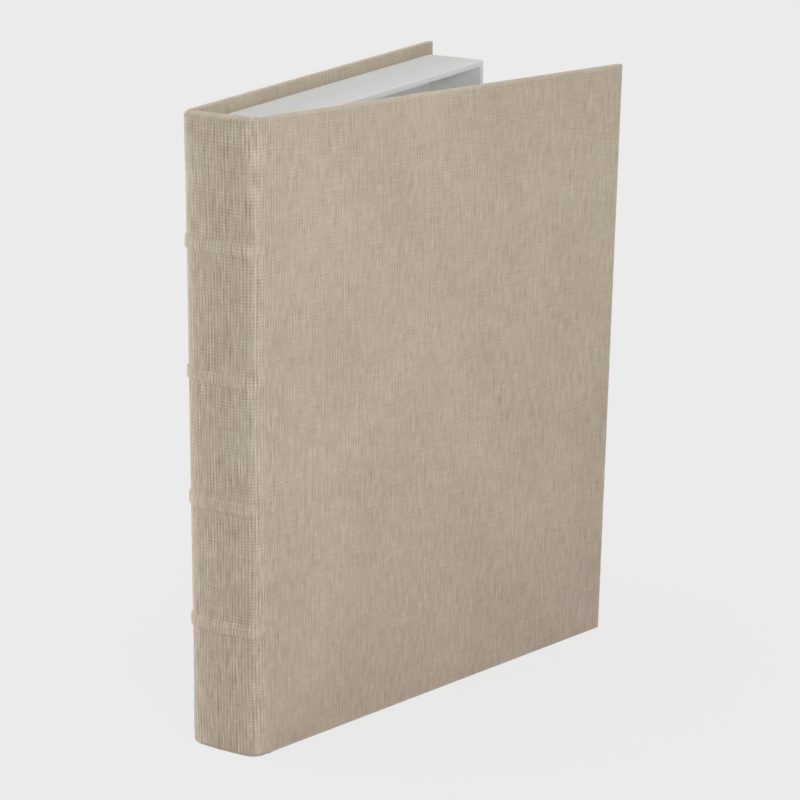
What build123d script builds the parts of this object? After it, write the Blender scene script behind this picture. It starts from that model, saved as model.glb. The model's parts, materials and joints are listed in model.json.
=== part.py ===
from build123d import *

from math import atan2, cos, pi, sin, sqrt
import os

# A book box of linen over board: a paper-lined tray on the back cover, a flat front
# cover, and a rounded spine with raised bands between them. It stands on its tail edge.
# Every piece is drawn with the box shut. X runs from the spine to the fore-edge, Y from
# the front cover to the back cover, whose outer face is y = 0, and Z from tail to head.
# The front cover is then opened, and the whole is set over the middle of its footprint.

# Overall sizes, in millimetres.
cover_height = 308.0
cover_width = 239.5
closed_depth = 40.8
cover_opening = 19.7

# Covering and boards.
cloth = 0.5
cover_board = 2.5
turn_in = 15.0
outer_fold_radius = 0.9
inner_fold_radius = 0.45
mitre_gap = 0.3

# Spine.
spine_thickness = 8.8
spine_crown = 1.5
spine_corner_radius = 8.8

# Joints of bare cloth between the spine and the covers.
joint_bend = 0.6
flex_gap = 0.5
joint_width = 1.6
hinge_lining = 0.4
hinge_lining_reach = 15.0
lining_gap = 0.3

# Raised bands.
band_count = 4
band_rise = 1.2
band_width = 7.8
band_shoulder = 1.9
band_strip_width = 6.0
band_strip_shoulder = 0.9
band_strip_edge = 0.45
band_end = 6.1
band_corner_share = 0.6
band_lift = 2.9
shoulder_steps = 3

# Lining paper on the front cover.
lining_paper = 0.3
lining_square = 6.0
lining_dip = 0.2
lining_start = 2.5

# Tray.
tray_head_square = 6.0
tray_tail_square = 6.0
tray_fore_edge_square = 6.1
tray_spine_clearance = 0.4
tray_wall_board = 2.5
tray_base_board = 2.5
tray_paper = 0.35
tray_under_fold = 12.0
tray_rim_radius = 0.3
lid_clearance = 0.35

# Levels that follow from the sizes above.
cover_thickness = cloth + cover_board + cloth
crown_radius = ((closed_depth / 2) ** 2 + spine_crown**2) / (2 * spine_crown)
corner_centre_x = crown_radius - sqrt(
    (crown_radius - spine_corner_radius) ** 2
    - (closed_depth / 2 - spine_corner_radius) ** 2
)
flex_line = corner_centre_x + joint_bend
spine_cloth_end = flex_line - flex_gap / 2
cover_cloth_start = flex_line + flex_gap / 2
cover_board_start = flex_line + joint_width
spine_board_inner = spine_thickness - cloth
joint_clear = 2 * flex_line

tray_spine_side = spine_thickness + tray_spine_clearance
tray_fore_side = cover_width - tray_fore_edge_square
tray_bottom = tray_tail_square
tray_top = cover_height - tray_head_square
tray_rim = -(closed_depth - cover_thickness - lining_paper - lid_clearance)
tray_base_back = -(cover_thickness + tray_paper)
tray_base_front = tray_base_back - tray_base_board
tray_wall = tray_wall_board + 2 * tray_paper


def block(x0, x1, y0, y1, z0, z1):
    """A plain block between two corners."""
    size = Box(x1 - x0, y1 - y0, z1 - z0)
    return Pos((x0 + x1) / 2, (y0 + y1) / 2, (z0 + z1) / 2) * size


# ---------------------------------------------------------------- spine


def spine_face(inset, rise=0.0):
    """The spine's cross-section, inset from the cloth's outer face.

    A shallow crown runs into two corner arcs, which end square on the cover planes. A
    rise lifts the crown by its full height and dies away round the corners.
    """
    middle_y = -closed_depth / 2
    corner_y = -spine_corner_radius
    crown_end = atan2(corner_y - middle_y, corner_centre_x - crown_radius)
    reach = crown_radius - inset + rise
    shoulder = Vector(
        crown_radius + reach * cos(crown_end),
        middle_y + reach * sin(crown_end),
    )
    corner_angle = (crown_end + pi / 2) / 2
    corner_reach = spine_corner_radius - inset + band_corner_share * rise
    corner = Vector(
        corner_centre_x + corner_reach * cos(corner_angle),
        corner_y + corner_reach * sin(corner_angle),
    )
    tangent = Vector(corner_centre_x, -inset)
    end = Vector(joint_clear, -inset)
    crest = Vector(inset - rise, middle_y)

    def across(point):
        return Vector(point.X, -closed_depth - point.Y)

    outline = Line(end, tangent)
    outline += ThreePointArc(tangent, corner, shoulder)
    outline += ThreePointArc(shoulder, crest, across(shoulder))
    outline += ThreePointArc(across(shoulder), across(corner), across(tangent))
    outline += Line(across(tangent), across(end))
    outline += Line(across(end), end)
    return make_face(outline)


def spine_slice(inset, x0, x1, z0, z1):
    """The inset cross-section drawn out from z0 to z1 and kept between x0 and x1."""
    length = extrude(Pos(0, 0, z0) * spine_face(inset), z1 - z0)
    return length & block(x0, x1, -closed_depth, 0, z0, z1)


def make_spine_board():
    """The thick shaped strip that gives the spine its crown and round edges."""
    return spine_slice(cloth, 0, spine_board_inner, cloth, cover_height - cloth)


def band_height(index):
    """Height of the middle of a band: even steps, with the tallest panel at the tail."""
    return cover_height * (index + 1) / (band_count + 1) + band_lift


def band_loft(index, inset, width, shoulder, edge_rise):
    """A band across the spine: edge_rise at its edges, full rise on its top."""
    sections = []
    for side in (-1, 1):
        steps = range(shoulder_steps + 1)
        for step in steps if side < 0 else reversed(steps):
            share = step / shoulder_steps
            rise = edge_rise + (band_rise - edge_rise) * share**2 * (3 - 2 * share)
            z = band_height(index) + side * (width / 2 - shoulder * share)
            sections.append(Pos(0, 0, z) * spine_face(inset, rise))
    return loft(sections, ruled=True)


def make_raised_band(index):
    """The strip glued round the spine board under the cloth."""
    band = band_loft(index, cloth, band_strip_width, band_strip_shoulder, band_strip_edge)
    low = band_height(index) - band_strip_width
    high = band_height(index) + band_strip_width
    ahead = block(-2 * band_rise, band_end, -2 * closed_depth, closed_depth, low, high)
    return band & ahead - spine_slice(cloth, 0, joint_clear, low, high)


def make_spine_cloth(spine_board, bands):
    """Cloth drawn over the crown and the bands, and turned in at head and tail."""
    wrap = extrude(spine_face(0), cover_height)
    ends = wrap.faces().filter_by(Axis.Z).edges()
    wrap = fillet(ends, outer_fold_radius)
    for index in range(band_count):
        wrap += band_loft(index, 0, band_width, band_shoulder, 0)
    depth = (-2 * closed_depth, closed_depth)
    wrap &= block(-2 * band_rise, spine_cloth_end, *depth, 0, cover_height)
    wrap -= spine_board
    for band in bands:
        wrap -= band
    wrap -= spine_slice(cloth, spine_thickness, joint_clear, 0, cover_height)
    window = (turn_in, cover_height - turn_in)
    return wrap - spine_slice(cloth, spine_board_inner, joint_clear, *window)


def make_spine_lining():
    """Cloth on the spine's inner face, pressed into both joints."""
    low = turn_in + lining_gap
    high = cover_height - low
    lining = spine_slice(cloth, spine_board_inner, spine_cloth_end, low, high)
    inside = cloth + hinge_lining
    return lining - spine_slice(inside, spine_thickness, joint_clear, low, high)


# ---------------------------------------------------------------- covers
# Both covers are drawn as the back one, with the outer face on y = 0.


def make_cover_board():
    """Binder's board, short of the cloth on every side."""
    return block(
        cover_board_start,
        cover_width - cloth,
        -cloth - cover_board,
        -cloth,
        cloth,
        cover_height - cloth,
    )


def folded_edges(cover, level, radius):
    """Rounds the cloth where it folds over the three free edges at one level."""
    edges = cover.edges().filter_by_position(Axis.Y, level, level)
    free = [edge for edge in edges if edge.center().X > cover_board_start]
    return fillet(free, radius)


def make_cover_cloth(board):
    """Cloth over a cover's outer face, turned in round head, tail and fore-edge."""
    back = -cover_thickness
    cover = block(cover_cloth_start, cover_width, back, 0, 0, cover_height)
    cover = folded_edges(cover, 0, outer_fold_radius)
    cover = folded_edges(cover, back, inner_fold_radius)
    cover -= block(0, cover_board_start, back, -cloth, 0, cover_height)
    cover -= board
    cover -= block(
        0,
        cover_width - turn_in,
        back,
        back + cloth,
        turn_in,
        cover_height - turn_in,
    )
    for z, lean in ((turn_in, 45), (cover_height - turn_in, -45)):
        cut = Box(4 * turn_in, cloth, mitre_gap)
        cut = Pos(cover_width - turn_in, back + cloth / 2, z) * Rot(0, lean, 0) * cut
        inner = block(0, cover_width - 2 * cloth, back, 0, 2 * cloth, cover_height - 2 * cloth)
        cover -= cut & inner
    return cover


def make_hinge_lining():
    """Cloth pressed into a joint, up the board's end and onto its inner face."""
    reach = cover_board_start + hinge_lining_reach
    inner = -cover_thickness
    outline = Polyline(
        (cover_cloth_start, -cloth),
        (cover_board_start, -cloth),
        (cover_board_start, inner + cloth),
        (reach, inner + cloth),
        (reach, inner),
        (cover_board_start - hinge_lining, inner),
        (cover_board_start - hinge_lining, -cloth - hinge_lining),
        (cover_cloth_start, -cloth - hinge_lining),
        close=True,
    )
    low = turn_in + lining_gap
    return extrude(Pos(0, 0, low) * make_face(outline), cover_height - 2 * low)


def make_lining_paper():
    """Paper over the turn-ins of the front cover, sunk a little between them."""
    left = cover_board_start + lining_start
    right = cover_width - lining_square
    top = cover_height - lining_square
    surface = -cover_thickness - lining_paper
    paper = block(left, right, surface, -cover_thickness, lining_square, top)
    left = cover_board_start + hinge_lining_reach
    right = cover_width - turn_in
    window = (turn_in, cover_height - turn_in)
    paper -= block(left, right, surface, surface + lining_dip, *window)
    return paper + block(left, right, surface + lining_dip, -cloth - cover_board, *window)


# ---------------------------------------------------------------- tray


def tray_box(inset, back, front):
    """A block as large as the tray, inset on its four sides."""
    return block(
        tray_spine_side + inset,
        tray_fore_side - inset,
        front,
        back,
        tray_bottom + inset,
        tray_top - inset,
    )


def make_tray_base():
    """Board under the whole tray."""
    return tray_box(tray_paper, tray_base_back, tray_base_front)


def make_tray_walls():
    """Head and tail walls run right through, and the other two stand between them."""
    inset = tray_paper
    left = tray_spine_side + inset
    right = tray_fore_side - inset
    low = tray_bottom + inset
    high = tray_top - inset
    depth = (tray_rim + tray_paper, tray_base_front)
    board = tray_wall_board
    return {
        "tray_head_wall": block(left, right, *depth, high - board, high),
        "tray_tail_wall": block(left, right, *depth, low, low + board),
        "tray_spine_wall": block(left, left + board, *depth, low + board, high - board),
        "tray_fore_edge_wall": block(right - board, right, *depth, low + board, high - board),
    }


def make_tray_wrap():
    """Paper round the walls, folded over the rim and down inside, and under the base."""
    wrap = tray_box(0, -cover_thickness, tray_rim)
    wrap = fillet(wrap.faces().sort_by(Axis.Y)[0].edges(), tray_rim_radius)
    wrap -= tray_box(tray_paper, tray_base_back, tray_base_front)
    boards = tray_box(tray_paper, tray_base_front, tray_rim + tray_paper)
    boards -= tray_box(tray_paper + tray_wall_board, tray_base_front, tray_rim)
    wrap -= boards
    wrap -= tray_box(tray_wall, tray_base_front, tray_rim)
    return wrap - tray_box(tray_under_fold, -cover_thickness, tray_base_back)


def make_tray_floor_paper():
    """Paper on the floor of the tray, between the papers of its walls."""
    return tray_box(tray_wall, tray_base_front, tray_base_front - tray_paper)


# ---------------------------------------------------------------- assembly


def opened(piece):
    """Turns a piece of the front cover about the front joint."""
    joint = Pos(flex_line, -closed_depth, 0)
    return joint * Rot(0, 0, -cover_opening) * joint.inverse() * piece


def as_front(piece):
    """The front cover's copy of a piece drawn on the back cover."""
    return opened(Pos(0, -closed_depth, 0) * mirror(piece, about=Plane.XZ))


def make_parts():
    """Every piece by name, in the place it has on the opened box."""
    spine_board = make_spine_board()
    bands = [make_raised_band(index) for index in range(band_count)]
    cover_piece = make_cover_board()
    cover_cloth = make_cover_cloth(cover_piece)
    lining = make_hinge_lining()
    parts = {
        "back_cover_board": cover_piece,
        "back_cover_cloth": cover_cloth,
        "back_hinge_lining": lining,
        "front_cover_board": as_front(cover_piece),
        "front_cover_cloth": as_front(cover_cloth),
        "front_hinge_lining": as_front(lining),
        "front_lining_paper": as_front(make_lining_paper()),
        "spine_board": spine_board,
        "spine_cloth": make_spine_cloth(spine_board, bands),
        "spine_lining": make_spine_lining(),
        "tray_base": make_tray_base(),
        "tray_wrap_paper": make_tray_wrap(),
        "tray_floor_paper": make_tray_floor_paper(),
    }
    parts.update(make_tray_walls())
    for index, band in enumerate(bands):
        parts[f"raised_band_{index + 1}"] = band
    return parts


def main():
    parts = make_parts()
    extent = Compound(children=[Compound(piece.solids()) for piece in parts.values()])
    extent = extent.bounding_box()
    middle = extent.center()
    to_origin = Pos(-middle.X, -middle.Y, 0)
    os.makedirs("parts", exist_ok=True)
    for name, piece in parts.items():
        placed = to_origin * piece
        solids = placed.solids()
        export_step(solids[0] if len(solids) == 1 else Compound(solids), f"parts/{name}.step")
    print("size", extent.size)
    print("back joint at", flex_line - middle.X, -middle.Y)
    print("front joint at", flex_line - middle.X, -closed_depth - middle.Y)


main()
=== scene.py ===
from cmath import exp, phase
from collections import namedtuple
import json
from math import asin, ceil, cos, pi, radians, sin, tan

import bmesh
import bpy
from mathutils import Matrix, Vector, noise


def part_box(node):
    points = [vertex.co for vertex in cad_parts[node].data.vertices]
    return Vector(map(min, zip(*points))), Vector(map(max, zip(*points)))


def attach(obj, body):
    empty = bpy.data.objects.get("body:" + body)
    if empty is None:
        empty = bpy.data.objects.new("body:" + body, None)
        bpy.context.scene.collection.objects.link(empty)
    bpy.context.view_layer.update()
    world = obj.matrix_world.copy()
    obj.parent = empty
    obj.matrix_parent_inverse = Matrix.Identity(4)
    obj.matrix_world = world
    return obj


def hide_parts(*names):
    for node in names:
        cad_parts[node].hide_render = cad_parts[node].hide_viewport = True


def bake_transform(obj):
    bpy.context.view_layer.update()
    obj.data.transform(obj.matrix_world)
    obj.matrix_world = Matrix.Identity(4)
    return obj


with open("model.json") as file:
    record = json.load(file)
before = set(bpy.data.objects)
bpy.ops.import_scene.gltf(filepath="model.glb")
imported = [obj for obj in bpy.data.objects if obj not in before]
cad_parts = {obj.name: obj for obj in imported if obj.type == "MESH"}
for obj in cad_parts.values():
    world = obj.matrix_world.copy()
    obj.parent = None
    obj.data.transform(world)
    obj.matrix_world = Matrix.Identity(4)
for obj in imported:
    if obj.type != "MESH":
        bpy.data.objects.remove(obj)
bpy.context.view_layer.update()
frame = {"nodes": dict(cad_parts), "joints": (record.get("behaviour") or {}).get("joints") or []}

# A book box of natural linen over board, with a white paper-lined tray on its back cover.
# Sizes are in millimetres, in the plan of the shut box: x runs from the spine's crest to
# the fore-edge, t runs inwards from a cover's outer face, and z runs up from the tail.
# A place in that plan is one complex number, x + 1j * t, so that a turn is one product.
# A girth is the way round the outside from the crest, and an inset the way in from an edge.

MM = 0.001


def span(node):
    """Lowest and highest corner of a node, in millimetres."""
    low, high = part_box(node)
    return low / MM, high / MM


joints = {joint["name"]: joint for joint in frame["joints"]}
back_hinge = Vector(joints["back_joint"]["pos_m"]) / MM
front_hinge = Vector(joints["front_joint"]["pos_m"]) / MM
cover_opening = -radians(joints["front_joint"]["range_deg"][0])

# Covers.
cloth_low, cloth_high = span("back_cover_cloth")
board_low, board_high = span("back_cover_board")
spine_low, spine_high = span("spine_board")
cloth = cloth_high.y - board_high.y
origin = Vector((spine_low.x - cloth, back_hinge.y, 0))
cover_height = cloth_high.z
cover_width = cloth_high.x - origin.x
cover_thickness = cloth_high.y - cloth_low.y
closed_depth = back_hinge.y - front_hinge.y
board_start = board_low.x - origin.x
turn_in = 15.0
cover_fold_radius = 0.55
inner_fold_radius = 0.45
fold_share = 0.45  # of a thin edge's thickness, the most that one fold's radius takes
cover_corner_radius = 0.5

# Mitres at the covers' corners, where two turn-ins meet.
mitre_start = 1.0  # from the edge to where they begin to part
mitre_half_gap = 0.35
mitre_sink = 0.22  # how deep the corner's cloth dips between them
sink_start = 0.8
sink_reach = 1.2

# Spine and its joints.
flex_line = back_hinge.x - origin.x
joint_bend = 0.6  # from the centre of the spine's round corner to the flex line
bend_reach = 1.1  # how far from the flex line the cloth takes part in the bend
spine_inner = spine_high.x + cloth - origin.x
spine_crown = 1.5
spine_corner_radius = 8.8
spine_fold_radius = 1.8
joint_fold = 2 * cloth  # two layers of cloth in the joint, and the turn-ins at its ends
joint_end_depth = 3.2
joint_end_length = 5.0
end_flare = 0.4  # how far the spine's cloth spreads at head and tail
end_flare_length = 16.0
board_end_step = 0.15
bridge_end = 5.0  # from the flex line to where cloth over the open joint meets the board
corner_centre = complex(flex_line - joint_bend, spine_corner_radius)
crown_radius = ((closed_depth / 2) ** 2 + spine_crown**2) / (2 * spine_crown)
crown_centre = complex(crown_radius, closed_depth / 2)
crown_end = asin((closed_depth / 2 - spine_corner_radius) / (crown_radius - spine_corner_radius))
crown_length = crown_radius * crown_end
corner_length = spine_corner_radius * (pi / 2 - crown_end)
seam_angle = radians(66)
seam_girth = crown_length + spine_corner_radius * (seam_angle - crown_end)
seam_tolerance = 0.001

# Raised bands.
band_nodes = sorted(name for name in frame["nodes"] if name.startswith("raised_band"))
band_heights = [(span(name)[0].z + span(name)[1].z) / 2 for name in band_nodes]
band_rise = 1.2
band_width = 7.8
band_shoulder = 1.9

# Cloth, and how much paler it is painted: 1 along a cover's outer edges, for wear and painted
# highlight, and less on the bands and corners, as painted highlight alone.
cloth_layer = 0.45
face_waver = 0.07
waver_length = 34.0
waver_margin = 12.0
edge_wear_and_highlight_reach = 1.3
inner_edge_wear_and_highlight = 0.5
# The bands' crests and the spine's round corners are painted paler as painted highlight.
band_highlight = 0.4
corner_highlight = 0.6
corner_middle = crown_length + corner_length / 2

# How far apart the points of the sheets stand.
edge_inset = 1.6  # where a face's grid ends and the fold's begins
row_step = 7.0
band_step = 0.6
least_gap = 1.0
crown_steps = 9
fold_steps = 5
round_step = radians(2.5)
joint_step = 0.2
board_start_step = 0.5
board_start_reach = 4.0
corner_turns = range(0, 91, 15)
mitre_turns = [radians(angle) for angle in corner_turns[::-1]]
turn_in_stops = (1.0, 2.2, 5.0, 9.0, turn_in - 0.4)
weld_scale = 1e6  # points less than a millionth of a metre apart are one point
least_edge = 1e-4
sharp_fold = radians(50)  # the cloth shades as smooth over any softer fold

# Linings and papers.
lining_cloth = 0.4
lining_folds = (0.35, 0.35, 0.3)
lining_stops = (board_start + 2, board_start + 6)
lining_reach = 15.0
lining_low = turn_in + 0.3
lining_seam = 3.0
lining_paper = 0.3
lining_square = 6.0
lining_start = 2.5
lining_dip = 0.2
lining_slope = 2.4
paper_waver = 0.03

# Tray, in the frame's own x and y.
tray_low, tray_high = span("tray_wrap_paper")
tray_paper = span("tray_base")[0].x - tray_low.x
tray_wall = span("tray_floor_paper")[0].x - tray_low.x
base_front = span("tray_base")[0].y
tray_corner_radius = 0.6
tray_rim_radius = 0.5
tray_foot_radius = 1.1
tray_under_fold = 12.0
tray_sides = ("tail", "fore_edge", "head", "spine")
side_margin = tray_wall + 0.5
side_step = 12.0
rim_mitre = 0.25
rim_mitre_reach = 0.5
rim_mitre_start = 0.7
rim_mitre_depth = 1.0
rim_mitre_sink = 0.12
floor_trim = 0.15
floor_step = 9.0
floor_paper = 0.9 * tray_paper  # a little thin, so that its waver stays clear of the base

# Camera, fitted to the box's edges: its sensor and lens in millimetres, its place in metres.
camera_azimuth = radians(-61.95)
camera_elevation = radians(17.99)
camera_roll = radians(0.77)
camera_place = Vector((-0.93721, -0.49105, 0.49399))
camera_sensor = 36.0
camera_lens = 100.785

# Floor and light, in metres.
floor_radius = 6.0
floor_sides = 96
floor_colour = "#f3f3f3"
backdrop_colour = "#ebebeb"
shadow_start = 0.12  # the trace of shadow fades out from here, past the box's edge
shadow_end = 0.32
shadow_hidden = 0.93  # the share of the floor's shading that the camera never sees
world_light = 0.28
lamp_aim = Vector((0, 0, 0.15))


def smooth(share):
    """0 below 0, 1 above 1, and an even S between them."""
    share = min(max(share, 0.0), 1.0)
    return share * share * (3 - 2 * share)


def spread(low, high, step):
    """Evenly spaced values from low to high, both included, about one step apart."""
    count = max(1, ceil((high - low) / step - 1e-6))
    return [low + (high - low) * index / count for index in range(count + 1)]


# ---------------------------------------------------------------- sheets as meshes


class Sheet:
    """A thin sheet: every point of its face has a twin on its under side.

    Patches are grids of points that join wherever their points meet. Each point brings
    its place on the uncut cloth, in millimetres, and how much wear and painted highlight it has.
    """

    def __init__(self):
        self.index = {}
        self.face_points = []
        self.under_points = []
        self.wear_and_highlight = []
        self.polygons = []
        self.threads = []

    def point(self, face, under, wear_and_highlight):
        """The number of a point, which is a new one unless a patch has been there before."""
        key = tuple(round(value * weld_scale) for value in face)
        if key not in self.index:
            self.index[key] = len(self.face_points)
            self.face_points.append(face)
            self.under_points.append(under)
            self.wear_and_highlight.append(wear_and_highlight)
        return self.index[key]

    def patch(self, columns):
        """Adds a grid: columns hold rows of (face point, under point, thread place, wear and
        painted highlight).
        """
        numbered = [[(self.point(f, u, w), thread) for f, u, thread, w in col] for col in columns]
        for left, right in zip(numbered, numbered[1:]):
            for row in range(len(left) - 1):
                corners = []
                for corner in (left[row], right[row], right[row + 1], left[row + 1]):
                    if corner[0] not in [known[0] for known in corners]:
                        corners.append(corner)
                if len(corners) > 2:
                    self.polygons.append([corner[0] for corner in corners])
                    self.threads.append([corner[1] for corner in corners])

    def mesh(self, name, material):
        """A closed mesh of both sides and the cut edges between them."""
        count = len(self.face_points)
        polygons = list(self.polygons)
        threads = list(self.threads)
        edges = {}
        for polygon, places in zip(self.polygons, self.threads):
            polygons.append([count + corner for corner in reversed(polygon)])
            threads.append(list(reversed(places)))
            for index, start in enumerate(polygon):
                follower = (index + 1) % len(polygon)
                edge = (start, polygon[follower])
                edges[edge] = (places[index], places[follower])
        for (start, end), (start_place, end_place) in edges.items():
            if (end, start) not in edges:
                polygons.append([end, start, count + start, count + end])
                threads.append([end_place, start_place, start_place, end_place])
        mesh = bpy.data.meshes.new(name)
        mesh.from_pydata(self.face_points + self.under_points, [], polygons)
        layer = mesh.uv_layers.new(name="threads")
        for loop, place in zip(layer.data, [place for places in threads for place in places]):
            loop.uv = place
        wear_and_highlight_level = mesh.attributes.new("wear_and_highlight", "FLOAT", "POINT")
        wear_and_highlight_level.data.foreach_set("value", self.wear_and_highlight + self.wear_and_highlight)
        close_skin(mesh)
        mesh.materials.append(material)
        mesh.shade_smooth()
        mesh.set_sharp_from_angle(angle=sharp_fold)
        piece = bpy.data.objects.new(name, mesh)
        bpy.context.scene.collection.objects.link(piece)
        return piece


def close_skin(mesh):
    """Drops the faces that a fold has pressed to nothing, and turns the skin outwards."""
    skin = bmesh.new()
    skin.from_mesh(mesh)
    bmesh.ops.dissolve_degenerate(skin, dist=least_edge * MM, edges=skin.edges)
    if skin.calc_volume(signed=True) < 0:
        bmesh.ops.reverse_faces(skin, faces=skin.faces)
    skin.to_mesh(mesh)
    skin.free()


def rounded(corners, radii, steps=4):
    """Places and outward normals along straight runs joined by arcs, with the way gone."""
    path = []
    leaving = 0
    for before, at, after, radius in zip(corners, corners[1:], corners[2:], radii):
        arriving = (at - before) / abs(at - before)
        leaving = (after - at) / abs(after - at)
        turn = phase(leaving / arriving)
        if not path:
            path.append((before, 1j * arriving))
        start = at - arriving * radius * tan(abs(turn) / 2)
        centre = start + 1j * arriving * radius * (1 if turn > 0 else -1)
        for step in range(steps + 1):
            swing = exp(1j * turn * step / steps)
            path.append((centre + (start - centre) * swing, 1j * arriving * swing))
    path.append((corners[-1], 1j * leaving))
    gone = 0.0
    found = [(*path[0], gone)]
    for (before, _), (at, normal) in zip(path, path[1:]):
        gone += abs(at - before)
        found.append((at, normal, gone))
    return found


def with_stops(path, stops):
    """The same path with more points on its last straight run, at these places along x."""
    (before, _, gone), (end, normal, _) = path[-2:]
    share = [(stop - before.real) / (end.real - before.real) for stop in stops]
    extra = [(before + (end - before) * s, normal, gone + abs(end - before) * s) for s in share]
    return path[:-1] + extra + path[-1:]


# ---------------------------------------------------------------- plan of the casing


class Half:
    """One half of the casing: side 1 is the back cover's, side -1 the front cover's."""

    def __init__(self, side, opening, cover):
        self.side = side
        self.opening = opening
        self.cover = cover

    def opened(self, place):
        """Where a place in the shut plan is once the cover has swung about its hinge."""
        share = smooth((place.real - flex_line + bend_reach) / (2 * bend_reach))
        return flex_line + (place - flex_line) * exp(-1j * self.opening * share)

    def point(self, place, z):
        """A place in the plan, at a height, as a point in the frame."""
        y = -place.imag if self.side > 0 else place.imag - closed_depth
        return (Vector((place.real, y, z)) + origin) * MM

    def bend_points(self):
        """Where the cloth starts and ends its bend, in metres."""
        reach = bend_reach * exp(-0.5j * self.opening)
        middle = cover_height / 2
        return self.point(flex_line - reach, middle), self.point(flex_line + reach, middle)


back_half = Half(1, 0.0, "back_cover")
front_half = Half(-1, cover_opening, "front_cover")

# A station is one column of the cloth: its girth, its x in the shut plan, its place on the
# outside, the way outwards there, the place across from it on the inside, and that place at
# head and tail, where the turn-ins fill the joint.
Station = namedtuple("Station", "half girth x face outward inner end_inner")


def inner_face(face, joint_depth):
    """The face of the turn-in that lies across the edge from a place on the outside."""
    if face.real < spine_inner:
        middle = closed_depth / 2
        return complex(spine_inner, middle - (middle - face.imag) * (1 - joint_depth / middle))
    share = smooth((face.real - board_start + cloth) / board_end_step)
    return complex(face.real, joint_depth + (cover_thickness - joint_depth) * share)


def girth_at(x):
    """The girth of a place on the flat of a cover."""
    return crown_length + corner_length + x - corner_centre.real


def shut_outline():
    """(girth, face, outward) round half the shut casing, from the crest to the fore-edge."""
    outline = []
    for angle in spread(0, crown_end, crown_end / crown_steps)[:-1]:
        outward = -exp(1j * angle)
        outline.append((crown_radius * angle, crown_centre + crown_radius * outward, outward))
    corner = spread(crown_end, seam_angle, round_step)
    corner += spread(seam_angle, pi / 2, round_step)[1:]
    for angle in corner:
        outward = -exp(1j * angle)
        girth = crown_length + spine_corner_radius * (angle - crown_end)
        outline.append((girth, corner_centre + spine_corner_radius * outward, outward))
    board_end = board_start - cloth
    flat_start = board_start + board_start_reach
    columns = spread(corner_centre.real, board_end, joint_step)[1:]
    columns += spread(board_end, board_end + board_end_step, board_end_step / fold_steps)[1:]
    columns += spread(board_start, flat_start, board_start_step)
    columns += spread(flat_start, cover_width - edge_inset, row_step)[1:]
    outline += [(girth_at(x), complex(x), -1j) for x in columns]
    return outline


def bridge(girth):
    """The face and outward normal of the cloth that bridges the opened front joint.

    It is a smooth curve from the seam to the flat of the cover. Elsewhere it is None.
    """
    outward = -exp(1j * seam_angle)
    start = corner_centre + spine_corner_radius * outward
    end = front_half.opened(complex(flex_line + bridge_end))
    share = (girth - seam_girth) / (girth_at(flex_line + bridge_end) - seam_girth)
    if not 0 <= share <= 1:
        return None
    arm = abs(end - start) / 3
    start_arm = start + arm * 1j * outward
    end_arm = end - arm * exp(-1j * cover_opening)
    rest = 1 - share
    face = rest**3 * start + 3 * rest**2 * share * start_arm
    face += 3 * rest * share**2 * end_arm + share**3 * end
    way = rest**2 * (start_arm - start) + 2 * rest * share * (end_arm - start_arm)
    way += share**2 * (end - end_arm)
    return face, -1j * way / abs(way)


def half_stations(half):
    """All the stations of one half, from the crest to the fore-edge."""
    stations = []
    for girth, face, outward in shut_outline():
        turned = outward * exp(-1j * half.opening) if face.real > flex_line else outward
        bridged = bridge(girth) if half.opening else None
        opened_face, turned = bridged or (half.opened(face), turned)
        inner = half.opened(inner_face(face, joint_fold))
        end_inner = half.opened(inner_face(face, joint_end_depth))
        stations.append(Station(half, girth, face.real, opened_face, turned, inner, end_inner))
    return stations


# ---------------------------------------------------------------- linen covering


def rows():
    """Heights of the rows of points on the outer face, close together over each band."""
    heights = spread(edge_inset, cover_height - edge_inset, row_step)
    near = band_width / 2 + band_step
    for band in band_heights:
        heights = [z for z in heights if abs(z - band) > near + least_gap]
        heights += spread(band - near, band + near, band_step)
    return sorted(heights)


def lift(girth, z):
    """How far the face stands off its plain outline: bands, the spine's flared ends, waver.

    The bands and the flare keep most of their rise until well round the spine's corner.
    """
    past_crown = min(max((girth - crown_length) / corner_length, 0), 1)
    fade = (1 - past_crown**3) ** 1.5
    end = min(z, cover_height - z)
    rise = end_flare * (1 - smooth((end - end_flare_length) / end_flare_length))
    for band in band_heights:
        rise += band_rise * smooth((band_width / 2 - abs(z - band)) / band_shoulder)
    edge = min(end, girth_at(cover_width) - girth) - edge_inset
    waver = noise.noise(Vector((girth / waver_length, z / waver_length, 0)))
    return rise * fade + face_waver * waver * smooth(edge / waver_margin)


def edge_wear_and_highlight(inset, thickness, depth):
    """Wear and painted highlight at an edge: full along its outer fold, and less along the inner
    one.
    """
    near = max(0.0, 1 - inset / edge_wear_and_highlight_reach)
    return near * (1 if depth < thickness / 2 else inner_edge_wear_and_highlight)


def mitre_slack(spot, thickness):
    """How far a turn-in keeps back from the mitre; nothing keeps back on the outer face."""
    return mitre_half_gap * smooth(spot.real - mitre_start) if spot.imag > thickness / 2 else 0.0


def station_column(station):
    """One column of points up the outer face."""
    column = []
    for z in rows():
        face = station.face + station.outward * lift(station.girth, z)
        inward = (station.end_inner - face) / abs(station.end_inner - face)
        top = station.half.point(face, z)
        under = station.half.point(face + inward * cloth_layer, z)
        # Band crests and the middle of the spine's round corners are painted paler: painted
        # highlight.
        wear_and_highlight_level = min(max(lift(station.girth, z) - end_flare, 0), band_rise) * band_highlight
        wear_and_highlight_level += corner_highlight * max(0.0, 1 - abs(station.girth - corner_middle) / corner_length)
        column.append((top, under, (station.half.side * station.girth, z), wear_and_highlight_level))
    return column


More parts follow.
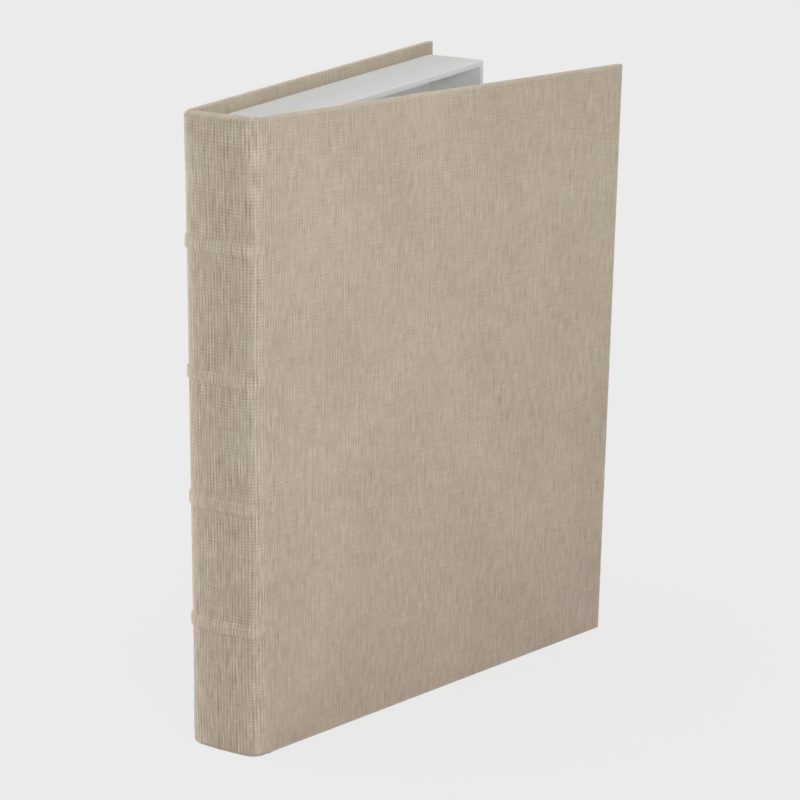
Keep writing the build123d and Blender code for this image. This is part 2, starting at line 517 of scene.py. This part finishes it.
def edge_path(thickness, fold_radius):
    """The cloth's way round an edge and onto the inside: each place is inset + 1j * depth."""
    outer = min(fold_radius, fold_share * thickness)
    inner = min(inner_fold_radius, fold_share * thickness)
    depth = 1j * thickness
    corners = [complex(edge_inset), 0j, depth, turn_in + depth]
    return with_stops(rounded(corners, [outer, inner], fold_steps), turn_in_stops)


def end_column(station, head):
    """One column of points round the head or the tail edge, onto the inside."""
    start = station.face + station.outward * lift(station.girth, edge_inset)
    thickness = abs(station.end_inner - start)
    radius = spine_fold_radius if station.x < spine_inner else cover_fold_radius
    column = []
    for place, normal, gone in edge_path(thickness, radius):
        ends = []
        for spot in (place, place - normal * cloth_layer):
            inset = spot.real
            reach = cover_width - place.real - mitre_slack(spot, thickness)
            face = start
            if station.x > reach:
                face = station.half.opened(complex(reach))
            inner = station.end_inner
            inner += (station.inner - inner) * smooth((inset - edge_inset) / joint_end_length)
            across = (inner - start) * spot.imag / thickness
            ends.append(station.half.point(face + across, cover_height - inset if head else inset))
        slid = min(station.x, cover_width - place.real - mitre_slack(place, thickness))
        girth = station.girth - (station.x - slid)
        run = gone - edge_inset
        thread = (station.half.side * girth, cover_height + run if head else -run)
        column.append((*ends, thread, edge_wear_and_highlight(place.real, thickness, place.imag)))
    return column if head else column[::-1]


def fore_edge_column(half, z, turn=None):
    """One column round the fore-edge, or round a corner of it, onto the inside."""
    column = []
    head = z > cover_height / 2
    for place, normal, gone in edge_path(cover_thickness, cover_fold_radius):
        ends = []
        for spot in (place, place - normal * cloth_layer):
            inset = max(spot.real, 0)
            x = cover_width - inset
            kept = inset + mitre_slack(spot, cover_thickness)
            height = min(max(z, kept), cover_height - kept)
            depth = spot.imag
            if turn is not None:
                keep = max(cover_corner_radius, inset)
                x = cover_width - keep + (keep - inset) * cos(turn)
                height = keep - (keep - inset) * sin(turn)
                height = cover_height - height if head else height
                if depth > cover_thickness / 2:
                    depth -= mitre_sink * smooth((inset - sink_start) / sink_reach)
            ends.append(half.point(half.opened(complex(x, depth)), height))
        thread = (half.side * (girth_at(cover_width) + gone - edge_inset), ends[0].z / MM)
        column.append((*ends, thread, edge_wear_and_highlight(place.real, cover_thickness, place.imag)))
    return column


def casing_sheet(stations, with_fore_edge):
    """Cloth over a run of stations, folded in at head and tail, and at the fore-edge."""
    sheet = Sheet()
    sheet.patch([station_column(station) for station in stations])
    sheet.patch([end_column(station, head=True) for station in stations])
    sheet.patch([end_column(station, head=False) for station in stations])
    if with_fore_edge:
        half = stations[-1].half
        head_corner = [fore_edge_column(half, cover_height, turn) for turn in mitre_turns]
        tail_corner = [fore_edge_column(half, 0, turn) for turn in mitre_turns[::-1]]
        sides = [fore_edge_column(half, z) for z in rows()[::-1]]
        sheet.patch([end_column(stations[-1], head=True), head_corner[0]])
        sheet.patch(head_corner + sides + tail_corner)
        sheet.patch([tail_corner[-1], end_column(stations[-1], head=False)[::-1]])
    return sheet


def make_spine_cloth(linen):
    """The cloth over the spine and its bands, from seam to seam."""
    up_to_seam = seam_girth + seam_tolerance
    front = [station for station in half_stations(front_half) if station.girth < up_to_seam]
    back = [station for station in half_stations(back_half) if station.girth < up_to_seam]
    stations = front[:0:-1] + back
    piece = casing_sheet(stations, False).mesh("spine_linen", linen)
    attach(piece, "spine")
    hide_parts("spine_cloth")
    return piece


def make_cover_cloth(half, linen):
    """The cloth over one cover, from its seam on the spine through the joint."""
    from_seam = seam_girth - seam_tolerance
    stations = [station for station in half_stations(half) if station.girth > from_seam]
    sheet = casing_sheet(stations, True)
    piece = sheet.mesh(f"{half.cover}_linen", linen)
    half.bend_points()
    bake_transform(piece)
    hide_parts(f"{half.cover}_cloth")
    return piece


# ---------------------------------------------------------------- linings and papers


def paper_stand(x, z, length, layer):
    """How far pasted paper wavers off its board, in hollows about so long."""
    return paper_waver * noise.noise(Vector((x / length, z / length, layer)))


def swept_sheet(half, path, heights, thickness):
    """A sheet of one section from end to end; path holds plan places and their normals."""
    sheet = Sheet()
    columns = []
    for place, normal, gone in path:
        column = []
        for z in heights:
            face = half.point(half.opened(place), z)
            under = half.point(half.opened(place - normal * thickness), z)
            column.append((face, under, (gone, z), 0.0))
        columns.append(column)
    sheet.patch(columns)
    return sheet


def pasted_sheet(across, up, ends):
    """A sheet pasted flat: ends gives the face and the under point for an x and a height."""
    sheet = Sheet()
    sheet.patch([[(*ends(x, z), (x, z), 0.0) for z in up] for x in across])
    return sheet


def make_hinge_lining(half, linen):
    """Cloth from the spine's inner face, through the joint and onto the cover's board."""
    level = cloth + lining_cloth
    board_end = board_start - lining_cloth
    corners = [
        complex(spine_inner, lining_seam),
        complex(spine_inner, level),
        complex(board_end, level),
        complex(board_end, cover_thickness),
        complex(board_start + lining_reach, cover_thickness),
    ]
    path = with_stops(rounded(corners, lining_folds), lining_stops)
    heights = spread(lining_low, cover_height - lining_low, row_step)
    sheet = swept_sheet(half, path, heights, lining_cloth)
    piece = sheet.mesh(f"{half.cover}_hinge_lining", linen)
    half.bend_points()
    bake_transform(piece)
    replaced = half.cover.replace("_cover", "_hinge_lining")
    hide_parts(replaced)
    return piece


def make_spine_lining(linen):
    """Cloth down the inner face of the spine, between its two turn-ins."""
    corners = spread(lining_seam, closed_depth - lining_seam, row_step)
    path = [(complex(spine_inner, t), 1 + 0j, t - corners[0]) for t in corners[::-1]]
    heights = spread(lining_low, cover_height - lining_low, row_step)
    piece = swept_sheet(back_half, path, heights, lining_cloth).mesh("spine_inner_lining", linen)
    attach(piece, "spine")
    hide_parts("spine_lining")
    return piece


def make_lining_paper(paper):
    """Paper pasted inside the front cover: the turn-ins under it show as a soft step."""
    left, right = board_start + lining_start, cover_width - lining_square
    low, high = lining_square, cover_height - lining_square
    lining_end = board_start + lining_reach
    turned_side, turned_head = cover_width - turn_in, cover_height - turn_in

    def ends(x, z):
        """The paper's face and under point: it dips where the turn-ins don't reach."""
        over = min(x - lining_end, turned_side - x, z - turn_in, turned_head - z)
        dip = lining_dip * smooth(over / lining_slope)
        depth = cover_thickness + lining_paper - dip - paper_stand(x, z, length=45.0, layer=7)
        places = [complex(x, depth), complex(x, depth - lining_paper)]
        return [front_half.point(front_half.opened(place), z) for place in places]

    def stops(first, last, slopes):
        """Lines across the paper, close together over each slope."""
        slope = spread(0, lining_slope, lining_slope / 4)
        near = [start + offset for start in slopes for offset in slope]
        rest = spread(first, last, row_step)
        return sorted(near + [at for at in rest if min(abs(at - n) for n in near) > least_gap])

    across = stops(left, right, (lining_end, turned_side - lining_slope))
    up = stops(low, high, (turn_in, turned_head - lining_slope))
    piece = pasted_sheet(across, up, ends).mesh("front_cover_lining_paper", paper)
    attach(piece, "front_cover")
    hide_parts("front_lining_paper")
    return piece


# ---------------------------------------------------------------- tray


def tray_place(side, along, inset):
    """Where a line at this inset from the tray's outside passes a station on one side.

    Along is an x or a height on a straight side, and an angle in degrees at a corner.
    """
    slack = rim_mitre * smooth((inset - tray_corner_radius) / rim_mitre_reach)
    low_x, high_x = tray_low.x + inset, tray_high.x - inset
    low_z, high_z = tray_low.z + inset, tray_high.z - inset
    if side in ("tail", "head"):
        along = min(max(along, low_x + slack), high_x - slack)
        return along, low_z if side == "tail" else high_z
    if side in ("spine", "fore_edge"):
        along = min(max(along, low_z + slack), high_z - slack)
        return low_x if side == "spine" else high_x, along
    keep = max(tray_corner_radius, inset)
    turn = radians(along)
    x = tray_high.x - keep if side.endswith("fore_edge") else tray_low.x + keep
    z = tray_high.z - keep if side.startswith("head") else tray_low.z + keep
    return x + (keep - inset) * cos(turn), z + (keep - inset) * sin(turn)


def tray_stations():
    """All round the tray: its four sides and the rounded corners between them."""
    across = spread(tray_low.x + side_margin, tray_high.x - side_margin, side_step)
    across = [tray_low.x + tray_corner_radius, *across, tray_high.x - tray_corner_radius]
    up = spread(tray_low.z + side_margin, tray_high.z - side_margin, side_step)
    up = [tray_low.z + tray_corner_radius, *up, tray_high.z - tray_corner_radius]
    around = [("tail", x) for x in across]
    around += [("tail_fore_edge", turn - 90) for turn in corner_turns]
    around += [("fore_edge", z) for z in up]
    around += [("head_fore_edge", turn) for turn in corner_turns]
    around += [("head", x) for x in across[::-1]]
    around += [("head_spine", turn + 90) for turn in corner_turns]
    around += [("spine", z) for z in up[::-1]]
    around += [("tail_spine", turn + 180) for turn in corner_turns]
    return around + around[:1]


def make_tray_wrap(paper):
    """Paper round the walls, folded over the rim and down inside, and under the base."""
    depth = tray_high.y - tray_low.y
    floor_depth = tray_high.y - base_front
    corners = [
        complex(tray_under_fold, 0),
        complex(0, 0),
        complex(0, depth),
        complex(tray_wall, depth),
        complex(tray_wall, floor_depth),
    ]
    radii = [tray_foot_radius, tray_rim_radius, tray_rim_radius]
    path = rounded(corners, radii, fold_steps)
    sheet = Sheet()
    columns = []
    for side, along in tray_stations():
        column = []
        for place, normal, gone in path:
            ends = []
            for spot in (place, place - normal * tray_paper):
                x, z = tray_place(side, along, max(spot.real, 0))
                y = tray_high.y - spot.imag
                on_rim = spot.real > rim_mitre_start and spot.imag > depth - rim_mitre_depth
                if on_rim and side not in tray_sides:
                    y += rim_mitre_sink
                ends.append(Vector((x, y, z)) * MM)
            column.append((*ends, (gone, along), 0.0))
        columns.append(column)
    sheet.patch(columns)
    piece = sheet.mesh("tray_wrap", paper)
    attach(piece, "back_cover")
    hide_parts("tray_wrap_paper")
    return piece


def make_tray_floor(paper):
    """Paper pasted on the floor of the tray, trimmed to meet the papers of the walls."""
    margin = tray_wall + floor_trim
    across = spread(tray_low.x + margin, tray_high.x - margin, floor_step)
    up = spread(tray_low.z + margin, tray_high.z - margin, floor_step)

    def ends(x, z):
        """The paper's face and under point."""
        y = base_front - tray_paper - paper_stand(x, z, length=50.0, layer=3)
        face = Vector((x, y, z)) * MM
        return face, face + Vector((0, floor_paper * MM, 0))

    piece = pasted_sheet(across, up, ends).mesh("tray_floor", paper)
    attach(piece, "back_cover")
    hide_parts("tray_floor_paper")
    return piece


# ---------------------------------------------------------------- materials


def linear(hexes):
    """An sRGB hex colour as the linear RGBA that shaders take."""
    values = [int(hexes[start : start + 2], 16) / 255 for start in (1, 3, 5)]
    curve = [v / 12.92 if v <= 0.04045 else ((v + 0.055) / 1.055) ** 2.4 for v in values]
    return (*curve, 1.0)


def new_material(name):
    """A new material, its tree of nodes and its Principled shader."""
    material = bpy.data.materials.new(name)
    material.use_nodes = True
    return material, material.node_tree, material.node_tree.nodes["Principled BSDF"]


def add_node(tree, kind, inputs, **settings):
    """Adds a node, with its settings, and fills its inputs from nodes, sockets or values."""
    node = tree.nodes.new("ShaderNode" + kind)
    for name, value in settings.items():
        setattr(node, name, value)
    for key, value in inputs.items():
        if isinstance(value, bpy.types.Node):
            value = value.outputs[0]
        if isinstance(value, bpy.types.NodeSocket):
            tree.links.new(value, node.inputs[key])
        else:
            node.inputs[key].default_value = value
    return node


def linen_cloth():
    """Natural linen book cloth, starched: flax yarns of uneven tone in a plain weave.

    Each yarn keeps its own tone for a few millimetres, so the eye sees short fine streaks,
    the strongest of them upright, with slubs here and there. Real yarns lie 0.4 mm apart,
    which is too fine for the picture, so they are drawn twice as coarse.
    """
    warp_yarn, weft_yarn, along_yarn = 0.83, 0.78, 0.01
    tone_offset = -0.225
    material, tree, shader = new_material("natural_linen_book_cloth")
    place = add_node(tree, "UVMap", {}, uv_map="threads")

    def pattern(way, size, detail=1.0):
        """Noise of a size in millimetres, which starts at a place of its own."""
        scale = (1 / size[0], 1 / size[1], 1.0)
        mapped = add_node(tree, "Mapping", {"Vector": way, "Location": size, "Scale": scale})
        inputs = {"Vector": mapped, "Scale": 1.0, "Detail": detail}
        return add_node(tree, "TexNoise", inputs, noise_dimensions="2D")

    # The yarns drift a little from dead straight. Each has one tone across its width, and
    # the steps along it are too fine to show.
    drift = pattern(place, (60.0, 90.0, 0.0), 0.0).outputs["Color"]
    wander = {0: drift, 1: (2.0, 2.0, 0.0), 2: place}
    wandered = add_node(tree, "VectorMath", wander, operation="MULTIPLY_ADD")
    upright_yarns = {0: wandered, 1: (warp_yarn, along_yarn, 1.0)}
    level_yarns = {0: wandered, 1: (along_yarn, weft_yarn, 1.0)}
    by_warp = add_node(tree, "VectorMath", upright_yarns, operation="SNAP")
    by_weft = add_node(tree, "VectorMath", level_yarns, operation="SNAP")
    warp = pattern(by_warp, (0.9, 11.0, 0.0), 1.5)
    weft = pattern(by_weft, (12.0, 0.67, 0.0), 2.0)

    # The weave's ribs and rows, bold in some patches and where cloth is drawn over the spine.
    turns = {0: wandered, 1: (pi / warp_yarn, pi / weft_yarn, 0.0)}
    turned = add_node(tree, "VectorMath", turns, operation="MULTIPLY")
    waves = add_node(tree, "VectorMath", {0: turned}, operation="SINE")
    weave = add_node(tree, "VectorMath", {0: waves, 1: (0.66, 0.33, 0.0)}, operation="DOT_PRODUCT")
    patchy = {"Value": pattern(place, (11.0, 17.0, 0.0)), "From Min": 0.35, "From Max": 0.62}
    patch = add_node(tree, "MapRange", {**patchy, "To Min": 0.62})
    girth, height_up = add_node(tree, "SeparateXYZ", {0: place}).outputs[:2]
    crest = add_node(tree, "Math", {0: girth}, operation="ABSOLUTE")
    # The same mask also paints shade: further down, the tone is darker over the spine's crest.
    stretch_and_shade_range = {"Value": crest, "From Min": 20.0, "From Max": 34.0, "To Min": 1.0, "To Max": 0.5}
    stretch_and_spine_shade = add_node(tree, "MapRange", stretch_and_shade_range)
    bold = add_node(tree, "Math", {0: patch, 1: stretch_and_spine_shade}, operation="MULTIPLY")
    streaks = add_node(tree, "Mix", {"Factor": bold, "A": 0.5, "B": warp})
    crossings = add_node(tree, "Math", {0: weave.outputs["Value"], 1: bold}, operation="MULTIPLY")

    # The tone is the sum of all these, flecks and slubs. It is painted darker towards the spine's
    # crest, as painted shade, and paler where the cloth wears and under painted highlight on
    # edges, bands and the spine's corners.
    wear_and_highlight_level = add_node(tree, "Attribute", {}, attribute_name="wear_and_highlight", attribute_type="GEOMETRY")
    fleck = pattern(wandered, (0.9, 1.6, 0.0))
    slubs = pattern(wandered, (2.6, 9.0, 0.0), 2.0)
    cloud = pattern(place, (38.0, 55.0, 0.0))
    shares = (
        (streaks, 0.66),
        (weft, 0.2),
        (crossings, 0.19),
        # painted shade: the cloth darker, most over the spine's crest
        (stretch_and_spine_shade, -0.07),
        (fleck, 0.16),
        (slubs, 0.24),
        (cloud, 0.14),
        # wear on the edges, and painted highlight on edges, band crests and the spine's corners
        (wear_and_highlight_level.outputs["Fac"], 0.19),
    )
    tone = tone_offset
    for layer, share in shares:
        tone = add_node(tree, "Math", {0: layer, 1: share, 2: tone}, operation="MULTIPLY_ADD")
    ramp = add_node(tree, "ValToRGB", {"Fac": tone})
    ramp.color_ramp.elements[0].color = linear("#91826f")
    ramp.color_ramp.elements[1].color = linear("#ded4c2")
    middle = ramp.color_ramp.elements.new(0.5)
    middle.color = linear("#baad9c")

    # Yarns differ a trace in hue as well, and the cloth is a little pinker towards the foot.
    pinker = {"Value": height_up, "From Min": 0.0, "From Max": 150.0}
    foot = add_node(tree, "MapRange", {**pinker, "To Min": 0.477, "To Max": 0.49})
    hue = add_node(tree, "Math", {0: warp, 1: 0.02, 2: foot}, operation="MULTIPLY_ADD")
    tinted = add_node(tree, "HueSaturation", {"Hue": hue, "Color": ramp})
    tree.links.new(tinted.outputs[0], shader.inputs["Base Color"])
    rough = add_node(tree, "MapRange", {"Value": tone, "To Min": 0.95, "To Max": 0.75})
    tree.links.new(rough.outputs[0], shader.inputs["Roughness"])
    height = add_node(tree, "Math", {0: crossings, 1: 0.8, 2: tone}, operation="MULTIPLY_ADD")
    bump = add_node(tree, "Bump", {"Strength": 0.5, "Distance": 0.15 * MM, "Height": height})
    tree.links.new(bump.outputs[0], shader.inputs["Normal"])
    shader.inputs["Specular IOR Level"].default_value = 0.2
    shader.inputs["Sheen Weight"].default_value = 0.45
    shader.inputs["Sheen Roughness"].default_value = 0.35
    shader.inputs["Sheen Tint"].default_value = linear("#efe6d8")
    return material


def wove_paper():
    """Machine-made wove paper, unglazed: an even white with a faint cloud of fibres."""
    material, tree, shader = new_material("white_wove_paper")
    place = add_node(tree, "TexCoord", {}).outputs["Object"]
    cloud = add_node(tree, "TexNoise", {"Vector": place, "Scale": 1 / (9 * MM), "Detail": 3.0})
    grain = add_node(tree, "TexNoise", {"Vector": place, "Scale": 1 / (0.6 * MM), "Detail": 2.0})
    mixed = add_node(tree, "Math", {0: grain, 1: 0.5, 2: cloud}, operation="MULTIPLY_ADD")
    tone = add_node(tree, "MapRange", {"Value": mixed, "From Min": 0.4, "From Max": 1.1})
    ramp = add_node(tree, "ValToRGB", {"Fac": tone})
    ramp.color_ramp.elements[0].color = linear("#e9eae8")
    ramp.color_ramp.elements[1].color = linear("#eeefed")
    tree.links.new(ramp.outputs[0], shader.inputs["Base Color"])
    rough = add_node(tree, "MapRange", {"Value": cloud, "To Min": 0.72, "To Max": 0.86})
    tree.links.new(rough.outputs[0], shader.inputs["Roughness"])
    bump = add_node(tree, "Bump", {"Strength": 0.3, "Distance": 0.03 * MM, "Height": mixed})
    tree.links.new(bump.outputs[0], shader.inputs["Normal"])
    shader.inputs["Specular IOR Level"].default_value = 0.3
    return material


def board_material():
    """Binder's board, rolled from waste paper: grey-brown, with pale and dark fibres."""
    material, tree, shader = new_material("rolled_grey_board")
    place = add_node(tree, "TexCoord", {}).outputs["Object"]
    fibres = {"Vector": place, "Scale": 1 / (1.2 * MM), "Detail": 5.0, "Roughness": 0.7}
    fibre = add_node(tree, "TexNoise", fibres)
    ramp = add_node(tree, "ValToRGB", {"Fac": fibre})
    ramp.color_ramp.elements[0].position = 0.35
    ramp.color_ramp.elements[1].position = 0.68
    ramp.color_ramp.elements[0].color = linear("#857c70")
    ramp.color_ramp.elements[1].color = linear("#aca294")
    tree.links.new(ramp.outputs[0], shader.inputs["Base Color"])
    rough = add_node(tree, "MapRange", {"Value": fibre, "To Min": 0.8, "To Max": 0.95})
    tree.links.new(rough.outputs[0], shader.inputs["Roughness"])
    bump = add_node(tree, "Bump", {"Strength": 0.5, "Distance": 0.08 * MM, "Height": fibre})
    tree.links.new(bump.outputs[0], shader.inputs["Normal"])
    return material


# ---------------------------------------------------------------- camera, floor and light


def make_camera():
    """The photograph's view: a long lens, from the left and a little above."""
    around, above = camera_azimuth, camera_elevation
    back = Vector((sin(around) * cos(above), -cos(around) * cos(above), sin(above)))
    level = Vector((cos(around), sin(around), 0))
    upright = back.cross(level)
    right = level * cos(camera_roll) + upright * sin(camera_roll)
    up = upright * cos(camera_roll) - level * sin(camera_roll)
    data = bpy.data.cameras.new("camera")
    data.sensor_width = camera_sensor
    data.lens = camera_lens
    camera = bpy.data.objects.new("camera", data)
    turned = Matrix((right, up, back)).transposed().to_4x4()
    camera.matrix_world = Matrix.Translation(camera_place) @ turned
    bpy.context.scene.collection.objects.link(camera)
    bpy.context.scene.camera = camera


def make_floor():
    """A white floor, seen as the backdrop's even grey but for a trace of the shadow.

    Near the box the camera sees a little of the lit floor, and further out none of it.
    """
    mesh = bpy.data.meshes.new("floor")
    turns = [2 * pi * side / floor_sides for side in range(floor_sides)]
    rim = [(floor_radius * cos(turn), floor_radius * sin(turn), 0) for turn in turns]
    mesh.from_pydata(rim, [], [range(floor_sides)])
    material = bpy.data.materials.new("studio_floor")
    material.use_nodes = True
    tree = material.node_tree
    tree.nodes.clear()
    matt = add_node(tree, "BsdfDiffuse", {"Color": linear(floor_colour)})
    plain = add_node(tree, "Emission", {"Color": linear(backdrop_colour), "Strength": 1.0})
    place = add_node(tree, "TexCoord", {}).outputs["Object"]
    distance = add_node(tree, "VectorMath", {0: place}, operation="LENGTH").outputs["Value"]
    near_box = {"Value": distance, "From Min": shadow_start, "From Max": shadow_end}
    near_box["To Min"] = shadow_hidden
    hidden = add_node(tree, "MapRange", near_box, interpolation_type="SMOOTHSTEP")
    rays = add_node(tree, "LightPath", {}).outputs["Is Camera Ray"]
    seen = add_node(tree, "Math", {0: rays, 1: hidden}, operation="MULTIPLY")
    mixed = add_node(tree, "MixShader", {0: seen, 1: matt, 2: plain})
    add_node(tree, "OutputMaterial", {"Surface": mixed})
    mesh.materials.append(material)
    piece = bpy.data.objects.new("floor", mesh)
    bpy.context.scene.collection.objects.link(piece)


def make_world():
    """Even light from all round, and the backdrop's grey to the camera."""
    world = bpy.data.worlds.new("studio")
    world.use_nodes = True
    tree = world.node_tree
    tree.nodes.clear()
    rays = add_node(tree, "LightPath", {}).outputs["Is Camera Ray"]
    light = add_node(tree, "Background", {"Color": (1, 1, 1, 1), "Strength": world_light})
    backdrop = add_node(tree, "Background", {"Color": linear(backdrop_colour), "Strength": 1.0})
    mixed = add_node(tree, "MixShader", {0: rays, 1: light, 2: backdrop})
    add_node(tree, "OutputWorld", {"Surface": mixed})
    bpy.context.scene.world = world


def add_softbox(name, at, size, power):
    """A square softbox that faces the middle of the box, with its power in watts."""
    data = bpy.data.lights.new(name, "AREA")
    data.shape = "SQUARE"
    data.size = size
    data.energy = power
    lamp = bpy.data.objects.new(name, data)
    aim = lamp_aim - Vector(at)
    lamp.rotation_euler = aim.to_track_quat("-Z", "Y").to_euler()
    lamp.location = at
    bpy.context.scene.collection.objects.link(lamp)


make_camera()
make_floor()
make_world()
add_softbox("key_softbox", at=(-0.44, -0.65, 0.5), size=0.4, power=3.8)
add_softbox("side_softbox", at=(-0.35, 1.0, 0.35), size=0.5, power=8.0)
add_softbox("top_softbox", at=(0.0, 0.0, 1.1), size=0.6, power=1.9)
add_softbox("fill_softbox", at=(1.1, 0.1, 0.6), size=0.6, power=2.5)

linen = linen_cloth()
white_paper = wove_paper()
grey_board = board_material()
linen_pieces = [
    make_spine_cloth(linen),
    make_cover_cloth(front_half, linen),
    make_cover_cloth(back_half, linen),
    make_spine_lining(linen),
    make_hinge_lining(front_half, linen),
    make_hinge_lining(back_half, linen),
]
paper_pieces = [
    make_lining_paper(white_paper),
    make_tray_wrap(white_paper),
    make_tray_floor(white_paper),
]
for node in frame["nodes"].values():
    node.data.materials.clear()
    node.data.materials.append(grey_board)
bpy.context.scene.view_settings.view_transform = "Standard"
